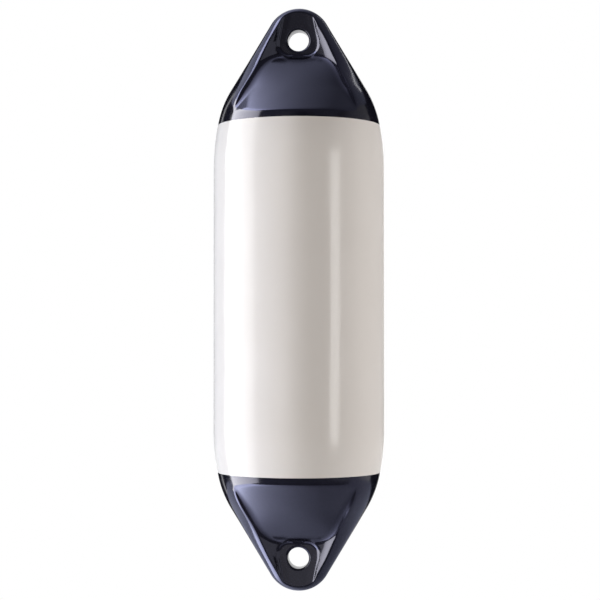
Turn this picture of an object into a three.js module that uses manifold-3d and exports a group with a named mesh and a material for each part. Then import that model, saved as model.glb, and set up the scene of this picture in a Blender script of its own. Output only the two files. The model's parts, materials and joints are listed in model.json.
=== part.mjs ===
// Inflatable boat fender, about 22 by 74 cm: a white barrel between two navy ends, each with a rope eye.
// Millimetres, +Z up along the barrel. The rope eyes run along Y and the origin is the middle of the upper eye.
import * as THREE from 'three';
import { mergeVertices } from 'three/addons/utils/BufferGeometryUtils.js';
import Module from 'manifold-3d';

// The outline that all three large pieces share. Heights are measured from the middle of the barrel.
const barrelRadius = 109;
const seamHeight = 221; // where white vinyl meets navy
const shoulderLength = 56; // stretch below the seam over which the barrel draws in
const shoulderRadius = 303; // large soft arc from the barrel to the knee
const kneeRise = 4; // from the seam to the start of the tighter knee arc
const eyeRise = 108.5; // from the seam to the middle of the eye
const flankAngle = 31 * Math.PI / 180; // side of the end against the axis
const tipRadius = 41.7;
const tipOffset = 1; // from the middle of the eye to the centre of the tip arc
const eyeRadius = 13.5;
const rimRounding = 3.8; // where the eye comes out on the lug faces
const barrelStraight = seamHeight - shoulderLength;
const kneeHeight = seamHeight + kneeRise;
const eyeHeight = seamHeight + eyeRise;
const tipCentre = eyeHeight + tipOffset;

// The hollow on the front and back of each end.
const lugThickness = 28; // flat material that the eye goes through
const edgeRise = 9; // from the seam to the crease below the panel
const lugDrop = 18; // from the middle of the eye to where the sloping panel would reach the lug face
const panelTopSlope = 1.05; // how fast the panel comes forward next to the lug, a little less than lower down
const panelBulge = 0.92; // sideways bulge of the panel as a share of the barrel's
const bulgeAtLug = 0.1; // the same next to the lug, where the panel is almost flat
const panelEdge = seamHeight + edgeRise;
const panelFoot = eyeHeight - lugDrop;
const flatteningFrom = panelEdge + 32;
const flatteningTo = panelFoot - 2;
const wallSlope = 0.72; // rise of the wall between the hollow and the rib crest
const panelBlend = 4;
const wallBlend = 5;
const crestBlend = 2.5;

// The lug face is sunk into a low shelf that borders it below and runs out beside the eye.
const shelfRise = 3;
const shelfFrom = eyeHeight - 18.5;
const shelfTo = eyeHeight + 0.5;
const pocketHalf = 24; // from the middle of the eye to the side of the sunk face
const pocketDrop = 19.2; // from the middle of the eye to its lower edge
const pocketCorner = 13;
const pocketTaper = 0.2; // the sunk face narrows by this much per millimetre above the eye
const pocketSlope = 0.9; // its border rises at this slope and then ever more steeply
const pocketCurve = 0.09;
const pocketFloor = eyeHeight - pocketDrop;
const pocketBorder = 3; // height of the stretch below the face in which its border meets the panel

// The rib crest, as an angle round the axis from the front, and how it closes in on its way to the tip.
const crestTurn = 50 * Math.PI / 180;
const crestClosing = 3 * Math.PI / 180;
const closingFrom = panelEdge + edgeRise;
const closingTo = tipCentre - eyeRadius;
const tipClosing = 10 * Math.PI / 180;
const tipClosingFrom = tipCentre - eyeRadius / 2;
const tipClosingTo = tipCentre + tipRadius;

// The share by which the ribs get thinner, front to back, on the way up.
const ribThinning = 0.34;
const thinningFrom = panelEdge + edgeRise;
const thinningTo = panelFoot;

// The valve in the back panel of the upper end.
const valveRise = 31; // from the crease up to the middle of the valve
const seatRadius = 9;
const seatLength = 13;
const seatLift = 0.8; // how far its rim stands above the panel
const plugHeadRadius = 6.4;
const plugHeadLength = 2.6;
const plugShankRadius = 4.4;
const plugShankLength = 7;
const slotWidth = 1.8;
const slotDepth = 1.5;
const clearance = 0.3;

// How finely the curves are divided.
const floorSteps = 5; // from the front centre line to the border of the sunk face
const shelfSteps = 4; // from there to the foot of the wall
const wallSteps = 4; // from the foot of the wall to the rib crest
const sideSteps = 5; // from the rib crest round to the side
const narrowestWall = 0.02; // in radians, so that the rings keep their points apart below the wall
const barrelSteps = 64;
const arcSteps = 5;
const eyeSteps = 40;
const rimSteps = 3;
const valveSteps = 28;

const vinyl = (color) => new THREE.MeshStandardMaterial({ color, roughness: 0.25 });
const white = vinyl(0xe9e5df);
const navy = vinyl(0x1b1c2e);
const blackPlastic = vinyl(0x16171a);
const greyPlastic = vinyl(0x6f7378);

const shoulderEnd = Math.asin((kneeHeight - barrelStraight) / shoulderRadius);
const kneeWidth = barrelRadius - shoulderRadius * (1 - Math.cos(shoulderEnd));
// The one radius that makes the knee meet the straight flank without a corner.
const kneeRadius = (tipRadius - kneeWidth * Math.cos(flankAngle)
  - (kneeHeight - tipCentre) * Math.sin(flankAngle)) / (1 - Math.cos(flankAngle - shoulderEnd));
const kneeEnd = kneeHeight + kneeRadius * (Math.sin(flankAngle) - Math.sin(shoulderEnd));
const flankEnd = tipCentre + tipRadius * Math.sin(flankAngle);
const tipHeight = tipCentre + tipRadius;

// Half of the width at a height above the middle of the barrel.
function halfWidth(z) {
  if (z <= barrelStraight) return barrelRadius;
  if (z <= kneeHeight) {
    const rise = z - barrelStraight;
    return barrelRadius - shoulderRadius + Math.sqrt(shoulderRadius ** 2 - rise ** 2);
  }
  if (z <= kneeEnd) {
    const rise = z - kneeHeight + kneeRadius * Math.sin(shoulderEnd);
    return kneeWidth - kneeRadius * Math.cos(shoulderEnd) + Math.sqrt(kneeRadius ** 2 - rise ** 2);
  }
  if (z <= flankEnd) return tipRadius / Math.cos(flankAngle) - (z - tipCentre) * Math.tan(flankAngle);
  return Math.sqrt(Math.max(0, tipRadius ** 2 - (z - tipCentre) ** 2));
}

// From 0 to 1 between two heights, with a soft start and end.
function eased(z, from, to) {
  const share = Math.min(1, Math.max(0, (z - from) / (to - from)));
  return share * share * (3 - 2 * share);
}

// Half of the thickness, front to back, that the ribs have at a height.
const halfDepth = (z) => halfWidth(z) * (1 - ribThinning * eased(z, thinningFrom, thinningTo));

function crestAt(z) {
  return crestTurn - crestClosing * eased(z, closingFrom, closingTo)
    - tipClosing * eased(z, tipClosingFrom, tipClosingTo);
}

// The larger of two heights, rounded over where they come within the blend of each other.
function blendedMax(a, b, blend) {
  const near = Math.max(0, blend - Math.abs(a - b)) / blend;
  return Math.max(a, b) + near * near * blend / 4;
}

const panelReach = panelFoot - panelEdge;
const meanSlope = (halfWidth(panelEdge) - lugThickness / 2) / panelReach;
const slopeGain = (meanSlope - panelTopSlope) / panelReach;

// Distance of the panel from the mid plane, on the centre line of the end.
function panelDepth(z) {
  const drop = panelFoot - z;
  return lugThickness / 2 + drop * (panelTopSlope + slopeGain * drop);
}

// Floor of the hollow: the shelf below the lug face, and below that the bulging panel.
function floorDepth(turn, z) {
  const bulge = panelBulge + (bulgeAtLug - panelBulge) * eased(z, flatteningFrom, flatteningTo);
  const shelf = lugThickness / 2 + shelfRise * (1 - eased(z, shelfFrom, shelfTo));
  return blendedMax(shelf, panelDepth(z) * (1 - bulge * (1 - Math.cos(turn))), panelBlend);
}

const pocketReach = (z) => pocketHalf - pocketTaper * Math.max(0, z - eyeHeight);

// The sunk lug face and its border, a U with rounded corners that is open towards the tip.
function pocketDepth(x, z) {
  const across = x - (pocketReach(z) - pocketCorner);
  const down = eyeHeight - z - (pocketDrop - pocketCorner);
  const inCorner = Math.hypot(Math.max(0, across), Math.max(0, down));
  const away = inCorner + Math.min(0, Math.max(across, down)) - pocketCorner;
  return lugThickness / 2 + Math.max(0, away * pocketSlope + Math.max(0, away) ** 2 * pocketCurve);
}

// Wall that rises from the floor to the rib crest.
function wallDepth(turn, z) {
  const crest = crestAt(z);
  const inward = halfWidth(z) * (Math.sin(crest) - Math.sin(turn));
  return halfDepth(z) * Math.cos(crest) - inward * wallSlope;
}

// Distance of the surface from the mid plane, at a turn round the axis that starts at the front.
function surfaceDepth(turn, z) {
  const aboveFace = blendedMax(floorDepth(turn, z), wallDepth(turn, z), wallBlend);
  const hollow = Math.min(aboveFace, pocketDepth(halfWidth(z) * Math.sin(turn), z));
  const rib = halfDepth(z) * Math.cos(turn);
  return Math.max(0, -blendedMax(-hollow, -rib, crestBlend));
}

// Turn of the border of the sunk face, or of its corner carried on downwards.
function borderTurn(z) {
  const down = Math.max(0, eyeHeight - z - (pocketDrop - pocketCorner));
  const corner = Math.sqrt(Math.max(0, pocketCorner ** 2 - down ** 2));
  const across = down < pocketCorner ? pocketReach(z) - pocketCorner + corner : pocketHalf - pocketCorner;
  return Math.asin(Math.min(across, halfWidth(z)) / halfWidth(z));
}

// Turn at which the wall meets the floor, found by halving.
function wallFoot(z) {
  let inside = 0;
  let outside = crestAt(z) - narrowestWall;
  if (wallDepth(outside, z) < floorDepth(outside, z)) return outside;
  for (let i = 0; i < 40; i += 1) {
    const middle = (inside + outside) / 2;
    if (wallDepth(middle, z) < floorDepth(middle, z)) inside = middle;
    else outside = middle;
  }
  return outside;
}

function spread(from, to, steps) {
  return Array.from({ length: steps }, (_, i) => from + (to - from) * i / steps);
}

// Heights of the rings of points, closer together where the surface turns.
function ringHeights() {
  const tipTurns = spread(flankAngle, Math.PI / 2, 8);
  return [
    ...spread(seamHeight, panelEdge, 2),
    ...spread(panelEdge, pocketFloor - pocketBorder, 11),
    ...spread(pocketFloor - pocketBorder, pocketFloor, 3),
    ...spread(pocketFloor, pocketFloor + pocketCorner, 5),
    ...spread(pocketFloor + pocketCorner, flankEnd, 7),
    ...tipTurns.map((turn) => tipCentre + tipRadius * Math.sin(turn)),
  ];
}

// Turns of the points in one quarter of a ring. They are set on the border of the sunk face, on the foot of
// the wall and on the rib crest, so that these run as clean lines.
function quarterTurns(z) {
  const crest = crestAt(z);
  const foot = wallFoot(z);
  const border = Math.min(borderTurn(z), crest - 2 * narrowestWall);
  const inner = Math.min(border, foot - narrowestWall);
  const outer = Math.max(border + narrowestWall, foot);
  return [
    ...spread(0, inner, floorSteps),
    ...spread(inner, outer, shelfSteps),
    ...spread(outer, crest, wallSteps),
    ...spread(crest, Math.PI / 2, sideSteps),
  ];
}

function ringPoints(z) {
  const width = halfWidth(z);
  const quarter = quarterTurns(z).map((turn) => [width * Math.sin(turn), surfaceDepth(turn, z)]);
  const back = quarter.slice(1).reverse();
  return [
    ...quarter.map(([x, y]) => [x, -y, z]),
    [width, 0, z],
    ...back.map(([x, y]) => [x, y, z]),
    ...quarter.map(([x, y]) => [-x, y, z]),
    [-width, 0, z],
    ...back.map(([x, y]) => [-x, -y, z]),
  ];
}

// A closed skin over rings of points, with a flat cap below and a pole above.
function skin(rings, bottom, pole) {
  const count = rings[0].length;
  const points = [...rings.flat(), bottom, pole];
  const bottomIndex = points.length - 2;
  const poleIndex = points.length - 1;
  const faces = [];
  for (let ring = 0; ring < rings.length; ring += 1) {
    for (let i = 0; i < count; i += 1) {
      const a = ring * count + i;
      const b = ring * count + (i + 1) % count;
      if (ring === 0) faces.push(bottomIndex, b, a);
      if (ring === rings.length - 1) faces.push(a, b, poleIndex);
      else faces.push(a, b, b + count, a, b + count, a + count);
    }
  }
  const geometry = new THREE.BufferGeometry();
  geometry.setAttribute('position', new THREE.Float32BufferAttribute(points.flat(), 3));
  geometry.setIndex(faces);
  return geometry;
}

const wasm = await Module();
wasm.setup();

function toSolid(geometry) {
  const bare = geometry.clone();
  bare.deleteAttribute('normal');
  bare.deleteAttribute('uv');
  const welded = mergeVertices(bare, 1e-4);
  return new wasm.Manifold(new wasm.Mesh({
    numProp: 3,
    vertProperties: new Float32Array(welded.attributes.position.array),
    triVerts: new Uint32Array(welded.index.array),
  }));
}

function toGeometry(solid) {
  const mesh = solid.getMesh();
  const geometry = new THREE.BufferGeometry();
  geometry.setAttribute('position', new THREE.BufferAttribute(new Float32Array(mesh.vertProperties), 3));
  geometry.setIndex(new THREE.BufferAttribute(new Uint32Array(mesh.triVerts), 1));
  return geometry;
}

function cut(geometry, ...tools) {
  return toGeometry(tools.reduce((solid, tool) => solid.subtract(toSolid(tool)), toSolid(geometry)));
}

// A straight round bar along Z between two heights.
function bar(radius, from, to, steps) {
  const profile = [[0, from], [radius, from], [radius, to], [0, to]];
  return new THREE.LatheGeometry(profile.map(([r, z]) => new THREE.Vector2(r, z)), steps).rotateX(Math.PI / 2);
}

function barrel() {
  const heights = [
    ...spread(-seamHeight, -barrelStraight, arcSteps),
    -barrelStraight,
    ...spread(barrelStraight, seamHeight, arcSteps),
    seamHeight,
  ];
  const profile = heights.map((z) => new THREE.Vector2(halfWidth(Math.abs(z)), z));
  const closed = [new THREE.Vector2(0, -seamHeight), ...profile, new THREE.Vector2(0, seamHeight)];
  return new THREE.LatheGeometry(closed, barrelSteps).rotateX(Math.PI / 2);
}

// The eye, flaring out to both lug faces along a rounded rim.
function eyeCutter() {
  const rimTurns = spread(0, Math.PI / 2, rimSteps);
  const face = lugThickness / 2;
  const rim = rimTurns.map((turn) => [
    eyeRadius + rimRounding * (1 - Math.cos(turn)),
    face - rimRounding + rimRounding * Math.sin(turn),
  ]);
  const mouth = eyeRadius + rimRounding;
  const front = [...rim, [mouth, face], [mouth, lugThickness]];
  const back = front.map(([r, z]) => [r, -z]).reverse();
  const profile = [[0, -lugThickness], ...back, ...front, [0, lugThickness]];
  return new THREE.LatheGeometry(profile.map(([r, z]) => new THREE.Vector2(r, z)), eyeSteps)
    .translate(0, 0, eyeHeight);
}

function endWithEye() {
  const outside = skin(ringHeights().map(ringPoints), [0, 0, seamHeight], [0, 0, tipHeight]);
  return cut(outside, eyeCutter());
}

// Puts a piece made upright at the origin onto the back panel, pointing straight out of it.
function onBackPanel(geometry) {
  const height = panelEdge + valveRise;
  const slope = panelTopSlope + 2 * slopeGain * (panelFoot - height);
  return geometry
    .rotateX(-Math.atan(1 / slope))
    .translate(0, panelDepth(height), height);
}

const seatFloor = seatLift - seatLength;
const headTop = seatLift - clearance;
const headFloor = headTop - plugHeadLength;
const shankEnd = headFloor - plugShankLength;

function valvePocket() {
  return onBackPanel(bar(seatRadius + clearance, seatFloor - clearance, seatLength, valveSteps));
}

function valveSeat() {
  const sleeve = bar(seatRadius, seatFloor, seatLift, valveSteps);
  const headRoom = bar(plugHeadRadius + clearance, headFloor - clearance, seatLength, valveSteps);
  const thread = bar(plugShankRadius + clearance, shankEnd - clearance, seatLength, valveSteps);
  return onBackPanel(cut(sleeve, headRoom, thread));
}

function valvePlug() {
  const profile = [
    [0, shankEnd], [plugShankRadius, shankEnd], [plugShankRadius, headFloor],
    [plugHeadRadius, headFloor], [plugHeadRadius, headTop], [0, headTop],
  ];
  const screw = new THREE.LatheGeometry(profile.map(([r, z]) => new THREE.Vector2(r, z)), valveSteps)
    .rotateX(Math.PI / 2);
  const slot = new THREE.BoxGeometry(plugHeadRadius * 3, slotWidth, slotDepth * 2).translate(0, 0, headTop);
  return onBackPanel(cut(screw, slot));
}

const group = new THREE.Group();

function add(name, geometry, material) {
  const shown = geometry.translate(0, 0, -eyeHeight);
  shown.computeVertexNormals();
  const mesh = new THREE.Mesh(shown, material);
  mesh.name = name;
  group.add(mesh);
}

const plainEnd = endWithEye();
const lowerEnd = plainEnd.clone().applyMatrix4(new THREE.Matrix4().makeScale(1, -1, -1));

add('body', barrel(), white);
add('upper_end', cut(plainEnd, valvePocket()), navy);
add('lower_end', lowerEnd, navy);
add('valve_seat', valveSeat(), blackPlastic);
add('valve_plug', valvePlug(), greyPlastic);

export default group;
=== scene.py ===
import json
import math
import bpy
from mathutils import Matrix, Vector

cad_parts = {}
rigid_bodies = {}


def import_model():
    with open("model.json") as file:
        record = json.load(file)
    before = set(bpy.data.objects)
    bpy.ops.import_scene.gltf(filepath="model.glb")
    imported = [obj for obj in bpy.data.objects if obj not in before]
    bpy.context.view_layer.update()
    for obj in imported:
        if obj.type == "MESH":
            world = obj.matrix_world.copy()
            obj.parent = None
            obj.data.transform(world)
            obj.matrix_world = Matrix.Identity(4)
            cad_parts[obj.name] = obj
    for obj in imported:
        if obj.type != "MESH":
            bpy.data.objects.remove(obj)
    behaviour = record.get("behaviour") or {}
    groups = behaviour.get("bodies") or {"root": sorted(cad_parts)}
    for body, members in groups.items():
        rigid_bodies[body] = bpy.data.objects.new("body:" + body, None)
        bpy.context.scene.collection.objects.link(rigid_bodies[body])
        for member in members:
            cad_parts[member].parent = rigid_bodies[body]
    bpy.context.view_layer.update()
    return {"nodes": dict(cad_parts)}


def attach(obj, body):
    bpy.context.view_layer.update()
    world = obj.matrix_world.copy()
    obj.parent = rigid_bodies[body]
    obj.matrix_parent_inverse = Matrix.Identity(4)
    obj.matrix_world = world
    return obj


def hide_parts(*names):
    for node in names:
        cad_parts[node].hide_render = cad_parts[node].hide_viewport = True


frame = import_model()
print("stage: CAD frame loaded")

mm = 0.001  # shapes are worked out in millimetres and made in metres

# The outline that all three large pieces share, measured from the middle of the barrel.
outline = {
    "barrelRadius": 109, "barrelStraight": 165, "seamHeight": 221,
    "shoulderRadius": 303, "kneeHeight": 225, "flankAngle": math.radians(31),
    "tipRadius": 41.7, "tipCentre": 330.5, "eyeHeight": 329.5, "eyeRadius": 13.5,
}

shoulderEnd = math.asin((outline["kneeHeight"] - outline["barrelStraight"]) / outline["shoulderRadius"])
kneeWidth = outline["barrelRadius"] - outline["shoulderRadius"] * (1 - math.cos(shoulderEnd))
kneeRadius = (outline["tipRadius"] - kneeWidth * math.cos(outline["flankAngle"])
              - (outline["kneeHeight"] - outline["tipCentre"]) * math.sin(outline["flankAngle"])
              ) / (1 - math.cos(outline["flankAngle"] - shoulderEnd))
kneeEnd = outline["kneeHeight"] + kneeRadius * (math.sin(outline["flankAngle"]) - math.sin(shoulderEnd))
flankEnd = outline["tipCentre"] + outline["tipRadius"] * math.sin(outline["flankAngle"])
tipHeight = outline["tipCentre"] + outline["tipRadius"]

# The frame's origin is the middle of the upper eye, and the lower end is the upper one turned over.
toFrame = Matrix.Translation((0, 0, -outline["eyeHeight"] * mm))
turnedOver = Matrix.Diagonal((1, -1, -1, 1))


# Half of the width at a height, the same arcs as the CAD part.
def halfWidth(z):
    o = outline
    if z <= o["barrelStraight"]:
        return o["barrelRadius"]
    if z <= o["kneeHeight"]:
        rise = z - o["barrelStraight"]
        return o["barrelRadius"] - o["shoulderRadius"] + math.sqrt(o["shoulderRadius"] ** 2 - rise ** 2)
    if z <= kneeEnd:
        rise = z - o["kneeHeight"] + kneeRadius * math.sin(shoulderEnd)
        return kneeWidth - kneeRadius * math.cos(shoulderEnd) + math.sqrt(kneeRadius ** 2 - rise ** 2)
    if z <= flankEnd:
        return o["tipRadius"] / math.cos(o["flankAngle"]) - (z - o["tipCentre"]) * math.tan(o["flankAngle"])
    return math.sqrt(max(0, o["tipRadius"] ** 2 - (z - o["tipCentre"]) ** 2))


# Goes softly from 0 to 1 between two values.
def smoothShare(value, low, high):
    share = min(1, max(0, (value - low) / (high - low)))
    return share * share * (3 - 2 * share)


# The larger of two depths, with a fillet where they are about the same.
def blendedMax(a, b, blend):
    near = max(0, blend - abs(a - b)) / blend
    return max(a, b) + near * near * blend / 4


# Even steps from low up to high, without high itself.
def spread(low, high, steps):
    return [low + (high - low) * i / steps for i in range(steps)]


# Smooth mesh from points in millimetres, with crisp edges where faces meet at more than the sharp angle.
def makeObject(name, points, faces, sharp=35):
    mesh = bpy.data.meshes.new(name)
    mesh.from_pydata([[c * mm for c in p] for p in points], [], faces)
    mesh.validate()
    mesh.shade_smooth()
    mesh.set_sharp_from_angle(angle=math.radians(sharp))
    made = bpy.data.objects.new(name, mesh)
    bpy.context.scene.collection.objects.link(made)
    return made


# Closed skin over rings of points, each with the same number of points, and a middle point at both ends.
def ringSkin(name, rings, first, last, sharp=35):
    count = len(rings[0])
    points = [p for ring in rings for p in ring] + [first, last]
    faces = []
    for k in range(len(rings)):
        for i in range(count):
            a, b = k * count + i, k * count + (i + 1) % count
            if k == 0:
                faces.append((len(points) - 2, b, a))
            if k == len(rings) - 1:
                faces.append((a, b, len(points) - 1))
            else:
                faces.append((a, b, b + count, a + count))
    return makeObject(name, points, faces, sharp)


# A turned piece: pairs of radius and height, spun round Z.
def turned(name, profile, steps):
    rings = []
    for radius, z in profile[1:-1]:
        rings.append([(radius * math.cos(t), radius * math.sin(t), z)
                      for t in (2 * math.pi * i / steps for i in range(steps))])
    return ringSkin(name, rings, (0, 0, profile[0][1]), (0, 0, profile[-1][1]))


# Cuts one closed object out of another and keeps the result as plain mesh.
def cutOut(target, tool):
    step = target.modifiers.new("cut", "BOOLEAN")
    step.operation, step.solver, step.object = "DIFFERENCE", "EXACT", tool
    result = bpy.data.meshes.new_from_object(target.evaluated_get(bpy.context.evaluated_depsgraph_get()))
    target.modifiers.clear()
    target.data = result
    bpy.data.objects.remove(tool)
    return target


# Moves the points themselves, so that every object stays at the origin.
def placed(thing, matrix):
    thing.data.transform(matrix)
    thing.data.update()
    return thing


# How fine the barrel's mesh is.
barrelMesh = {"steps": 212, "straightRings": 60, "shoulderRings": 30}


def makeBarrel():
    seam, straight = outline["seamHeight"], outline["barrelStraight"]
    shoulderRings = barrelMesh["shoulderRings"]
    heights = (spread(-seam, -straight, shoulderRings)
               + spread(-straight, straight, barrelMesh["straightRings"])
               + spread(straight, seam, shoulderRings) + [seam])
    profile = [(0, -seam)] + [(halfWidth(abs(z)), z) for z in heights] + [(0, seam)]
    return placed(turned("barrel_skin", profile, barrelMesh["steps"]), toFrame)


barrel = makeBarrel()
print("stage: barrel made")

# An end is a wedge between two ribs, hollow in front and at the back. Blends are how far fillets reach.
end = {
    # the flat lug, the panel that bulges below it and the low shelf between them
    "lugThickness": 28, "panelFoot": 311.5, "panelEdge": 230, "panelTopSlope": 1.05, "panelBlend": 4,
    "bulge": 0.92, "bulgeAtLug": 0.1, "flatteningFrom": 262, "flatteningTo": 309.5,
    "shelfRise": 3, "shelfFrom": 311, "shelfTo": 330,
    # the flat round the eye, sunk into the shelf
    "pocketHalf": 24, "pocketDrop": 19.2, "pocketCorner": 13, "pocketSlope": 0.9, "pocketCurve": 0.09,
    "pocketTaper": 0.2, "pocketBlend": 1.5,
    # the wall between panel and rib, gentler low down
    "wallSlope": 0.72, "wallEase": 0.3, "easeFrom": 268, "easeTo": 304, "wallBlend": 6,
    # the rib crests, as turns round the axis from the front, and how the ribs get thinner
    "crestTurn": math.radians(50), "crestClosing": math.radians(3), "closingFrom": 239, "closingTo": 317,
    "tipClosing": math.radians(10), "tipClosingFrom": 323.75, "tipClosingTo": 372.2, "crestBlend": 2.0,
    "ribThinning": 0.34, "thinningFrom": 239, "thinningTo": 311.5,
    # the rounded rim of the eye and the tool that cuts it
    "rimRounding": 3.8, "rimTurn": math.radians(76), "rimSteps": 7, "rimSides": 96, "toolReach": 3,
    # how fine the mesh is, and how the foot of the wall is found
    "floorSteps": 26, "wallSteps": 12, "sideSteps": 14, "creaseRings": 9, "ringGap": 1.3, "tipRings": 26,
    "sharp": 50, "crestMargin": 0.02, "halvings": 40,
}

panelReach = end["panelFoot"] - end["panelEdge"]
meanSlope = (halfWidth(end["panelEdge"]) - end["lugThickness"] / 2) / panelReach
slopeGain = (meanSlope - end["panelTopSlope"]) / panelReach


# Half of the depth over the ribs, front to back.
def halfDepth(z):
    return halfWidth(z) * (1 - end["ribThinning"] * smoothShare(z, end["thinningFrom"], end["thinningTo"]))


# Where the rib crest is, as a turn round the axis from the front.
def crestAt(z):
    return (end["crestTurn"] - end["crestClosing"] * smoothShare(z, end["closingFrom"], end["closingTo"])
            - end["tipClosing"] * smoothShare(z, end["tipClosingFrom"], end["tipClosingTo"]))


# The depth of the panel along its middle line.
def panelDepth(z):
    drop = end["panelFoot"] - z
    return end["lugThickness"] / 2 + drop * (end["panelTopSlope"] + slopeGain * drop)


# The panel bulges sideways like the barrel and flattens towards the lug, where a low shelf borders it.
def floorDepth(turn, z):
    flattening = smoothShare(z, end["flatteningFrom"], end["flatteningTo"])
    bulge = end["bulge"] + (end["bulgeAtLug"] - end["bulge"]) * flattening
    shelfShare = 1 - smoothShare(z, end["shelfFrom"], end["shelfTo"])
    shelf = end["lugThickness"] / 2 + end["shelfRise"] * shelfShare
    return blendedMax(shelf, panelDepth(z) * (1 - bulge * (1 - math.cos(turn))), end["panelBlend"])


# The sunk flat is a U with rounded corners, open towards the tip.
def pocketDepth(x, z):
    half = end["pocketHalf"] - end["pocketTaper"] * max(0, z - outline["eyeHeight"])
    across = x - (half - end["pocketCorner"])
    down = outline["eyeHeight"] - z - (end["pocketDrop"] - end["pocketCorner"])
    away = math.hypot(max(0, across), max(0, down)) + min(0, max(across, down)) - end["pocketCorner"]
    rise = away * end["pocketSlope"] + max(0, away) ** 2 * end["pocketCurve"]
    return end["lugThickness"] / 2 + blendedMax(0, rise, end["pocketBlend"])


# The depth of the wall, which falls from the rib crest towards the panel.
def wallDepth(turn, z):
    crest = crestAt(z)
    inward = halfWidth(z) * (math.sin(crest) - math.sin(turn))
    ease = end["wallEase"] * (1 - smoothShare(z, end["easeFrom"], end["easeTo"]))
    return halfDepth(z) * math.cos(crest) - inward * (end["wallSlope"] - ease)


# How far the surface stands in front of the axis, at a turn and a height.
def surfaceDepth(turn, z):
    inside = blendedMax(floorDepth(turn, z), wallDepth(turn, z), end["wallBlend"])
    inside = -blendedMax(-inside, -pocketDepth(halfWidth(z) * math.sin(turn), z), end["pocketBlend"])
    return max(0, -blendedMax(-inside, -halfDepth(z) * math.cos(turn), end["crestBlend"]))


# The turn at which the wall rises out of the panel, or just inside the crest where there is no wall.
def wallFoot(z):
    inside, outside = 0, crestAt(z) - end["crestMargin"]
    if wallDepth(outside, z) < floorDepth(outside, z):
        return outside
    for _ in range(end["halvings"]):
        between = (inside + outside) / 2
        if wallDepth(between, z) < floorDepth(between, z):
            inside = between
        else:
            outside = between
    return outside


# The front right quarter runs from the middle to the side, and the other three mirror it.
def endRing(z):
    width, foot, crest = halfWidth(z), wallFoot(z), crestAt(z)
    turns = (spread(0, foot, end["floorSteps"]) + spread(foot, crest, end["wallSteps"])
             + spread(crest, math.pi / 2, end["sideSteps"]))
    quarter = [(width * math.sin(t), surfaceDepth(t, z)) for t in turns]
    back = quarter[:0:-1]
    return ([(x, -y, z) for x, y in quarter] + [(width, 0, z)] + [(x, y, z) for x, y in back]
            + [(-x, y, z) for x, y in quarter] + [(-width, 0, z)] + [(-x, -y, z) for x, y in back])


# Heights of the rings: the crease above the seam, then the wedge, then the tip by turns of its arc.
def endHeights():
    seam, edge = outline["seamHeight"], end["panelEdge"]
    steps = round((flankEnd - edge) / end["ringGap"])
    tipTurns = spread(outline["flankAngle"], math.pi / 2, end["tipRings"])
    return (spread(seam, edge, end["creaseRings"]) + spread(edge, flankEnd, steps)
            + [outline["tipCentre"] + outline["tipRadius"] * math.sin(t) for t in tipTurns])


# The hole through the lug, with a rounded rim that runs out at a slight angle to the lug face.
def eyeTool():
    radius, rim, last = outline["eyeRadius"], end["rimRounding"], end["rimTurn"]
    start = end["lugThickness"] / 2 - rim
    upper = [(radius + rim * (1 - math.cos(t)), start + rim * math.sin(t))
             for t in spread(0, last, end["rimSteps"]) + [last]]
    upper.append((upper[-1][0] + end["toolReach"] * math.tan(last), upper[-1][1] + end["toolReach"]))
    lower = [(r, -y) for r, y in reversed(upper)]
    profile = [(0, lower[0][1])] + lower + upper + [(0, upper[-1][1])]
    atEye = Matrix.Translation((0, 0, outline["eyeHeight"] * mm)) @ Matrix.Rotation(math.pi / 2, 4, "X")
    return placed(turned("eyeTool", profile, end["rimSides"]), atEye)


def makeEnd(name):
    rings = [endRing(z) for z in endHeights()]
    foot, tip = (0, 0, outline["seamHeight"]), (0, 0, tipHeight)
    return cutOut(ringSkin(name, rings, foot, tip, end["sharp"]), eyeTool())


upperEnd = makeEnd("upper_end_skin")
lowerEnd = upperEnd.copy()
lowerEnd.data = upperEnd.data.copy()
lowerEnd.name = "lower_end_skin"
bpy.context.scene.collection.objects.link(lowerEnd)
placed(lowerEnd, toFrame @ turnedOver)
print("stage: both ends made")

# The valve is a sleeve with a slotted screw plug, sunk into the back panel of the upper end.
valve = {
    "height": 261, "seatRadius": 9, "seatLength": 13, "seatLift": 0.8, "headRadius": 6.4, "headLength": 2.6,
    "shankRadius": 4.4, "shankLength": 7, "slotWidth": 1.8, "slotDepth": 1.5, "gap": 0.3, "rounding": 0.5,
    "sides": 72, "cornerSteps": 4,
    "slotReach": 1.5,  # half the length of the slot's tool, in head radii
}


# Sets a piece square on the back panel at the height of the valve.
def onBackPanel(thing):
    z = valve["height"]
    slope = end["panelTopSlope"] + 2 * slopeGain * (end["panelFoot"] - z)
    tilt = Matrix.Rotation(-math.atan(1 / slope), 4, "X")
    return placed(thing, Matrix.Translation((0, panelDepth(z) * mm, z * mm)) @ tilt)


# Corner of a turned profile, rounded inwards from the two edges that meet there.
def roundedCorner(radius, z):
    rounding = valve["rounding"]
    return [(radius - rounding + rounding * math.cos(t), z - rounding + rounding * math.sin(t))
            for t in spread(0, math.pi / 2, valve["cornerSteps"])] + [(radius - rounding, z)]


# The pocket that the valve's sleeve stands in, with a gap all round.
def pocketTool():
    v = valve
    radius, floor = v["seatRadius"] + v["gap"], v["seatLift"] - v["seatLength"] - v["gap"]
    profile = [(0, floor), (radius, floor), (radius, v["seatLength"]), (0, v["seatLength"])]
    return onBackPanel(turned("pocketTool", profile, v["sides"]))


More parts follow.
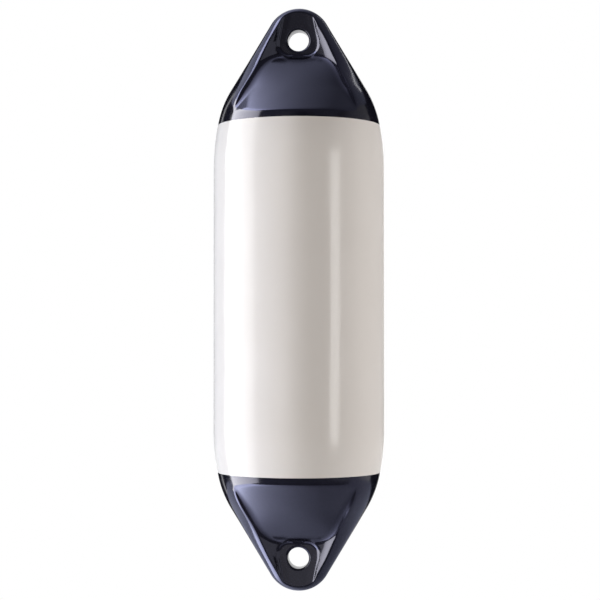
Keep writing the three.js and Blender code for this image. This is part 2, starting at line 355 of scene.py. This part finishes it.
def makeValve():
    v = valve
    floor = v["seatLift"] - v["seatLength"]
    headTop = v["seatLift"] - v["gap"]
    headFloor = headTop - v["headLength"]
    shankEnd = headFloor - v["shankLength"]
    mouth, throat = v["headRadius"] + v["gap"], v["shankRadius"] + v["gap"]
    wall = [(0, floor), (v["seatRadius"], floor)] + roundedCorner(v["seatRadius"], v["seatLift"])
    lip = [(mouth + v["rounding"], v["seatLift"]), (mouth, v["seatLift"] - v["rounding"])]
    bore = [(mouth, headFloor - v["gap"]), (throat, headFloor - v["gap"]),
            (throat, shankEnd - v["gap"]), (0, shankEnd - v["gap"])]
    seat = turned("valve_seat_skin", wall + lip + bore, v["sides"])
    shank = [(0, shankEnd), (v["shankRadius"], shankEnd), (v["shankRadius"], headFloor)]
    head = [(v["headRadius"], headFloor)] + roundedCorner(v["headRadius"], headTop) + [(0, headTop)]
    plug = turned("valve_plug_skin", shank + head, v["sides"])
    half, deep, long = v["slotWidth"] / 2, v["slotDepth"], v["headRadius"] * v["slotReach"]
    corners = [(x, y, z) for z in (headTop - deep, headTop + deep)
               for x, y in ((-long, -half), (long, -half), (long, half), (-long, half))]
    sides = [(3, 2, 1, 0), (4, 5, 6, 7), (0, 1, 5, 4), (1, 2, 6, 5), (2, 3, 7, 6), (3, 0, 4, 7)]
    plug = cutOut(plug, makeObject("slotTool", corners, sides))
    for thing in (seat, plug):
        placed(onBackPanel(thing), toFrame)
    return seat, plug


placed(cutOut(upperEnd, pocketTool()), toFrame)
valveSeat, valvePlug = makeValve()
print("stage: valve made")

# Colour and tint are mixed in soft patches. Waves and grain are heights in millimetres.
whiteVinyl = {
    "colour": (0.80, 0.782, 0.755), "tint": (0.765, 0.745, 0.71), "roughness": 0.15, "unevenness": 0.25,
    "specular": 0.3, "glint": (1, 1, 1), "scale": 1.0, "waves": 1.2, "grain": 0.012,
}
navyVinyl = {
    "colour": (0.0072, 0.0074, 0.0135), "tint": (0.0105, 0.0102, 0.0178), "roughness": 0.13,
    "unevenness": 0.3, "specular": 0.75, "glint": (0.84, 0.83, 1.0), "scale": 1.6, "waves": 0.8,
    "grain": 0.008,
}
valvePlastic = {
    "colour": (0.010, 0.0105, 0.0125), "tint": (0.018, 0.018, 0.021), "roughness": 0.42, "unevenness": 0.25,
    "specular": 0.5, "glint": (1, 1, 1), "scale": 8, "waves": 0.0, "grain": 0.02,
}
plugPlastic = {
    "colour": (0.16, 0.17, 0.19), "tint": (0.12, 0.13, 0.15), "roughness": 0.38, "unevenness": 0.25,
    "specular": 0.5, "glint": (1, 1, 1), "scale": 8, "waves": 0.0, "grain": 0.02,
}
# Size, detail and roughness of each noise.
noises = {"patches": (9, 3, 0.5), "gloss": (26, 4, 0.6), "grain": (420, 2, 0.5), "waves": (11, 1, 0.5)}
# Patches and gloss stretch what their noise has between low and high. Patches take the tint by mostTint.
stretched = {"low": 0.3, "high": 0.7, "mostTint": 0.55}


def newMaterial(name):
    material = bpy.data.materials.new(name)
    material.use_nodes = True
    return material, material.node_tree.nodes, material.node_tree.links


# Soft vinyl or plastic: mottled colour, uneven gloss, a fine skin texture and wide shallow waves.
def plasticMaterial(name, look):
    material, nodes, links = newMaterial(name)
    shader = nodes["Principled BSDF"]
    place = nodes.new("ShaderNodeTexCoord")

    def noise(kind):
        size, detail, rough = noises[kind]
        made = nodes.new("ShaderNodeTexNoise")
        made.inputs["Scale"].default_value = size * look["scale"]
        made.inputs["Detail"].default_value = detail
        made.inputs["Roughness"].default_value = rough
        links.new(place.outputs["Object"], made.inputs["Vector"])
        return made.outputs["Fac"]

    def ranged(source, low, high):
        made = nodes.new("ShaderNodeMapRange")
        made.inputs["From Min"].default_value = stretched["low"]
        made.inputs["From Max"].default_value = stretched["high"]
        made.inputs["To Min"].default_value = low
        made.inputs["To Max"].default_value = high
        links.new(source, made.inputs["Value"])
        return made.outputs["Result"]

    def bump(kind):
        made = nodes.new("ShaderNodeBump")
        made.inputs["Strength"].default_value = 1.0
        made.inputs["Distance"].default_value = look[kind] * mm
        links.new(noise(kind), made.inputs["Height"])
        return made

    mix = nodes.new("ShaderNodeMix")
    mix.data_type = "RGBA"
    mix.inputs["A"].default_value = (*look["colour"], 1)
    mix.inputs["B"].default_value = (*look["tint"], 1)
    links.new(ranged(noise("patches"), 0.0, stretched["mostTint"]), mix.inputs["Factor"])
    links.new(mix.outputs["Result"], shader.inputs["Base Color"])
    shiniest = look["roughness"] * (1 - look["unevenness"])
    dullest = look["roughness"] * (1 + look["unevenness"])
    links.new(ranged(noise("gloss"), shiniest, dullest), shader.inputs["Roughness"])
    shader.inputs["Specular IOR Level"].default_value = look["specular"]
    shader.inputs["Specular Tint"].default_value = (*look["glint"], 1)
    fine, wide = bump("grain"), bump("waves")
    links.new(wide.outputs["Normal"], fine.inputs["Normal"])
    links.new(fine.outputs["Normal"], shader.inputs["Normal"])
    return material


whiteSkin = plasticMaterial("white vinyl", whiteVinyl)
navySkin = plasticMaterial("navy vinyl", navyVinyl)
seatSkin = plasticMaterial("black valve plastic", valvePlastic)
plugSkin = plasticMaterial("grey plug plastic", plugPlastic)

for thing, node, slotName, material in (
        (barrel, "body", "white_vinyl", whiteSkin),
        (upperEnd, "upper_end", "navy_vinyl", navySkin),
        (lowerEnd, "lower_end", "navy_vinyl", navySkin),
        (valveSeat, "valve_seat", "black_plastic", seatSkin),
        (valvePlug, "valve_plug", "grey_plastic", plugSkin)):
    thing.data.materials.clear()
    thing.data.materials.append(material)
    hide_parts(node)
    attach(thing, "root")
    frame["nodes"][node].data.materials.clear()
    frame["nodes"][node].data.materials.append(material)
print("stage: materials given")

# The studio is in metres. Turns are in degrees round the fender from the camera, left is negative.
middle = -outline["eyeHeight"] * mm  # the height of the fender's middle

# The lamps light the fender without showing as reflections in it.
lampSettings = {
    "leftBox": {"turn": -79, "distance": 1.5, "size": (0.6, 2.1), "radiance": 5.25,
                "colour": (0.84, 0.885, 1.0)},
    "frontBox": {"turn": -20, "distance": 1.5, "size": (0.5, 2.6), "radiance": 3.5,
                 "colour": (1, 0.92, 0.86)},
    "rightBox": {"turn": 100, "distance": 1.6, "size": (0.7, 2.5), "radiance": 5.1,
                 "colour": (1, 0.94, 0.91)},
}


# A flat lamp facing the fender. Its power follows from how bright its face should be.
def makeLamp(name, turn, distance, size, radiance, colour):
    data = bpy.data.lights.new(name, "AREA")
    data.shape, data.size, data.size_y = "RECTANGLE", size[0], size[1]
    data.energy = radiance * size[0] * size[1] * math.pi
    data.color = colour
    lamp = bpy.data.objects.new(name, data)
    angle = math.radians(turn)
    lamp.location = (distance * math.sin(angle), -distance * math.cos(angle), middle)
    aim = Vector((0, 0, middle)) - lamp.location
    lamp.rotation_euler = aim.to_track_quat("-Z", "Y").to_euler()
    lamp.visible_glossy = False
    bpy.context.scene.collection.objects.link(lamp)


for name, settings in lampSettings.items():
    makeLamp(name, **settings)


# One for what the camera sees, straight, as a reflection or through glass, and nothing for other light.
def seenByCamera(nodes, links):
    path = nodes.new("ShaderNodeLightPath")
    firstMax = nodes.new("ShaderNodeMath")
    secondMax = nodes.new("ShaderNodeMath")
    firstMax.operation = secondMax.operation = "MAXIMUM"
    links.new(path.outputs["Is Camera Ray"], firstMax.inputs[0])
    links.new(path.outputs["Is Glossy Ray"], firstMax.inputs[1])
    links.new(firstMax.outputs[0], secondMax.inputs[0])
    links.new(path.outputs["Is Transmission Ray"], secondMax.inputs[1])
    return secondMax.outputs[0]


floorSettings = {
    "height": -1.45, "radius": 2.6, "steps": 96,
    "colour": (0.86, 0.86, 0.85), "roughness": 0.8, "paleness": 0.55,
}


# The floor keeps the shadow and looks pale because it glows a little for the camera.
def makeFloor():
    f = floorSettings
    rim = [(f["radius"] * math.cos(t) / mm, f["radius"] * math.sin(t) / mm, f["height"] / mm)
           for t in (2 * math.pi * i / f["steps"] for i in range(f["steps"]))]
    floor = makeObject("floor", rim, [tuple(range(f["steps"]))])
    material, nodes, links = newMaterial("floor")
    shader = nodes["Principled BSDF"]
    shader.inputs["Base Color"].default_value = (*f["colour"], 1)
    shader.inputs["Roughness"].default_value = f["roughness"]
    shader.inputs["Emission Color"].default_value = (*f["colour"], 1)
    glow = nodes.new("ShaderNodeMath")
    glow.operation = "MULTIPLY"
    glow.inputs[1].default_value = f["paleness"]
    links.new(seenByCamera(nodes, links), glow.inputs[0])
    links.new(glow.outputs[0], shader.inputs["Emission Strength"])
    floor.data.materials.append(material)


# Puts up something of the studio that only shows as a reflection.
def reflectionOnly(thing, material):
    thing.data.materials.append(material)
    thing.visible_camera = False
    thing.visible_diffuse = False
    thing.visible_shadow = False


# A material that only glows, and a way to do sums with the place on it.
def glowMaterial(name, colour):
    material, nodes, links = newMaterial(name)
    nodes.remove(nodes["Principled BSDF"])
    place = nodes.new("ShaderNodeTexCoord")
    parts = nodes.new("ShaderNodeSeparateXYZ")
    links.new(place.outputs["Object"], parts.inputs["Vector"])
    glow = nodes.new("ShaderNodeEmission")
    glow.inputs["Color"].default_value = (*colour, 1)
    links.new(glow.outputs[0], nodes["Material Output"].inputs["Surface"])

    def step(operation, first, second=0.0, clamp=False):
        made = nodes.new("ShaderNodeMath")
        made.operation = operation
        made.use_clamp = clamp
        for socket, value in zip(made.inputs, (first, second)):
            if isinstance(value, (int, float)):
                socket.default_value = value
            else:
                links.new(value, socket)
        return made.outputs[0]

    def finish(level):
        links.new(level, glow.inputs["Strength"])
        return material

    return parts.outputs, step, finish


# Dark curtains round the studio, with gaps at the back where the white background shows. Their glow grows
# to the left as far as leftFull, and from backStart back to the middle. Below midBelow it is midGlow
# stronger, and below lowBelow it is lowGlow stronger.
curtainTurns = {"frontCurtain": ((-116, 124),), "sideCurtain": ((-141, -116), (-168, -146), (124, 163))}
curtainSettings = {
    "radius": 2.9, "half": 3.0, "steps": 60, "leftFull": -2.0, "leftGlow": 0.35, "backStart": -1.5,
    "backGlow": 0.22, "lowBelow": -0.45, "lowGlow": 0.42, "midBelow": 1.2, "midGlow": 0.11,
}


def makeCurtain(name, turns):
    c = curtainSettings
    steps = c["steps"]
    points, faces = [], []
    for firstTurn, lastTurn in turns:
        start = len(points)
        for i in range(steps + 1):
            angle = math.radians(firstTurn + (lastTurn - firstTurn) * i / steps)
            for side in (-1, 1):
                points.append((c["radius"] * math.sin(angle) / mm, -c["radius"] * math.cos(angle) / mm,
                               (middle + side * c["half"]) / mm))
        for i in range(steps):
            first = start + 2 * i
            faces.append((first, first + 2, first + 3, first + 1))
    place, step, finish = glowMaterial(name, (1, 1, 1))
    toLeft = step("DIVIDE", place["X"], c["leftFull"], True)
    toBack = step("DIVIDE", step("SUBTRACT", place["Y"], c["backStart"]), -c["backStart"], True)
    isLow = step("LESS_THAN", place["Z"], middle + c["lowBelow"])
    isMid = step("LESS_THAN", place["Z"], middle + c["midBelow"])
    sides = step("ADD", step("MULTIPLY", toLeft, c["leftGlow"]), step("MULTIPLY", toBack, c["backGlow"]))
    low = step("MULTIPLY", isLow, c["lowGlow"] - c["midGlow"])
    level = step("ADD", sides, step("ADD", low, step("MULTIPLY", isMid, c["midGlow"])))
    reflectionOnly(makeObject(name, points, faces), finish(level))


# Level boards above and below glow by centre * exp(-fade * x), kept between least and most, so they fade
# away from the left. In front of front and behind back they glow no more than frontMost and backMost.
boardReach = {"left": -2.4, "right": 2.4, "near": -2.4, "far": 2.0}
boardSettings = {
    "upperBoard": {"rise": 1.6, "centre": 0.64, "fade": 2.1, "least": 0.2, "most": 6.0, "front": -0.45,
                   "frontMost": 0.1, "back": 0.55, "backMost": 0.8, "colour": (0.77, 0.81, 1.1)},
    "lowerBoard": {"rise": -1.05, "centre": 0.7, "fade": 2.8, "least": 0.4, "most": 6.4, "front": -0.4,
                   "frontMost": 0.1, "back": 0.5, "backMost": 0.8, "colour": (0.765, 0.81, 1.07)},
}


def makeBoard(name, rise, centre, fade, least, most, front, frontMost, back, backMost, colour):
    left, right, near, far = (boardReach[edge] / mm for edge in ("left", "right", "near", "far"))
    height = (middle + rise) / mm
    corners = [(left, near, height), (left, far, height), (right, far, height), (right, near, height)]
    place, step, finish = glowMaterial(name, colour)
    level = step("MULTIPLY", step("EXPONENT", step("MULTIPLY", place["X"], -fade)), centre)
    level = step("MAXIMUM", step("MINIMUM", level, most), least)
    inFront = step("LESS_THAN", place["Y"], front)
    behind = step("GREATER_THAN", place["Y"], back)
    frontCap = step("ADD", frontMost, step("MULTIPLY", step("SUBTRACT", 1.0, inFront), most))
    backCap = step("ADD", backMost, step("MULTIPLY", step("SUBTRACT", 1.0, behind), most))
    level = step("MINIMUM", level, step("MINIMUM", frontCap, backCap))
    reflectionOnly(makeObject(name, corners, [(0, 1, 2, 3)]), finish(level))


# Upright boards stand between two places on the floor plan. Their glow goes from the first value to the
# second, and a glowRise under 1 makes it change most at the start.
uprightSettings = {
    "leftBoard": {"start": (-1.5, -0.90), "stop": (-1.5, 0.637), "low": -1.05, "high": 1.6,
                  "glow": (1.5, 7.9), "colour": (1, 1, 1)},
    "rightStrip": {"start": (0.99, -1.17), "stop": (1.25, -0.91), "low": -0.39, "high": 0.45,
                   "glow": (6.7, 6.7), "colour": (1, 1, 1)},
    "rightBoard": {"start": (0.6, -1.9), "stop": (2.1, 0.0), "low": -0.9, "high": 0.9,
                   "glow": (0.6, 0.6), "colour": (0.9, 0.92, 1.0)},
    "edgeStrip": {"start": (0.735, 0.749), "stop": (0.697, 0.787), "low": 0.85, "high": 1.55,
                  "glow": (2.3, 2.3), "colour": (1, 1, 1)},
}
glowRise = 0.35


def makeUpright(name, start, stop, low, high, glow, colour):
    foot, top = middle + low, middle + high
    places = ((*start, foot), (*stop, foot), (*stop, top), (*start, top))
    corners = [(x / mm, y / mm, z / mm) for x, y, z in places]
    place, step, finish = glowMaterial(name, colour)
    along = step("DIVIDE", step("SUBTRACT", place["Y"], start[1]), stop[1] - start[1], True)
    gain = step("MULTIPLY", step("POWER", along, glowRise), glow[1] - glow[0])
    reflectionOnly(makeObject(name, corners, [(0, 1, 2, 3)]), finish(step("ADD", gain, glow[0])))


# These show in the given pieces alone, and are black for the others.
onlyIn = {"rightStrip": (barrel,), "sideCurtain": (barrel,), "edgeStrip": (upperEnd, lowerEnd)}


def limitReflections():
    for name, pieces in onlyIn.items():
        receivers = bpy.data.collections.new(name + "_receivers")
        for piece in pieces:
            receivers.objects.link(piece)
        bpy.data.objects[name].light_linking.receiver_collection = receivers


# The background is white where the camera sees it and gives the fender only a faint light.
backgroundSettings = {"colour": (1, 1, 1), "seen": 1.0, "ambient": 0.06}


def makeBackground():
    world = bpy.data.worlds.new("studio")
    world.use_nodes = True
    nodes, links = world.node_tree.nodes, world.node_tree.links
    nodes.clear()
    out = nodes.new("ShaderNodeOutputWorld")
    background = nodes.new("ShaderNodeBackground")
    strength = nodes.new("ShaderNodeMapRange")
    strength.inputs["To Min"].default_value = backgroundSettings["ambient"]
    strength.inputs["To Max"].default_value = backgroundSettings["seen"]
    links.new(seenByCamera(nodes, links), strength.inputs["Value"])
    links.new(strength.outputs["Result"], background.inputs["Strength"])
    background.inputs["Color"].default_value = (*backgroundSettings["colour"], 1)
    links.new(background.outputs[0], out.inputs["Surface"])
    bpy.context.scene.world = world


# The camera stands a little to the right and low, so that the front turns to the left.
cameraSettings = {
    "distance": 2.2, "turn": 4, "right": 0.0014, "below": 0.047, "aimDown": 0.0017,
    "lens": 103.2, "sensor": 36,
}


def makeCamera():
    c = cameraSettings
    data = bpy.data.cameras.new("camera")
    data.lens = c["lens"]
    data.sensor_width = c["sensor"]
    camera = bpy.data.objects.new("camera", data)
    tilt = math.atan(c["below"] / c["distance"])
    camera.location = (c["right"], -c["distance"], middle - c["below"] - c["aimDown"])
    camera.rotation_euler = (math.pi / 2 + tilt, 0, 0)
    bpy.context.scene.collection.objects.link(camera)
    bpy.context.scene.camera = camera


# Lamps, boards, curtains and camera are placed for a straight look at the front and then turn together.
def turnStudio():
    about = Matrix.Rotation(math.radians(cameraSettings["turn"]), 4, "Z")
    standing = (*boardSettings, *uprightSettings, *curtainTurns)
    bpy.context.view_layer.update()
    for thing in bpy.context.scene.objects:
        if thing.type in ("LIGHT", "CAMERA") or thing.name in standing:
            thing.matrix_world = about @ thing.matrix_world


makeFloor()
for name, turns in curtainTurns.items():
    makeCurtain(name, turns)
for name, settings in boardSettings.items():
    makeBoard(name, **settings)
for name, settings in uprightSettings.items():
    makeUpright(name, **settings)
limitReflections()
makeBackground()
makeCamera()
turnStudio()
bpy.context.scene.view_settings.view_transform = "Standard"
print("stage: studio set")
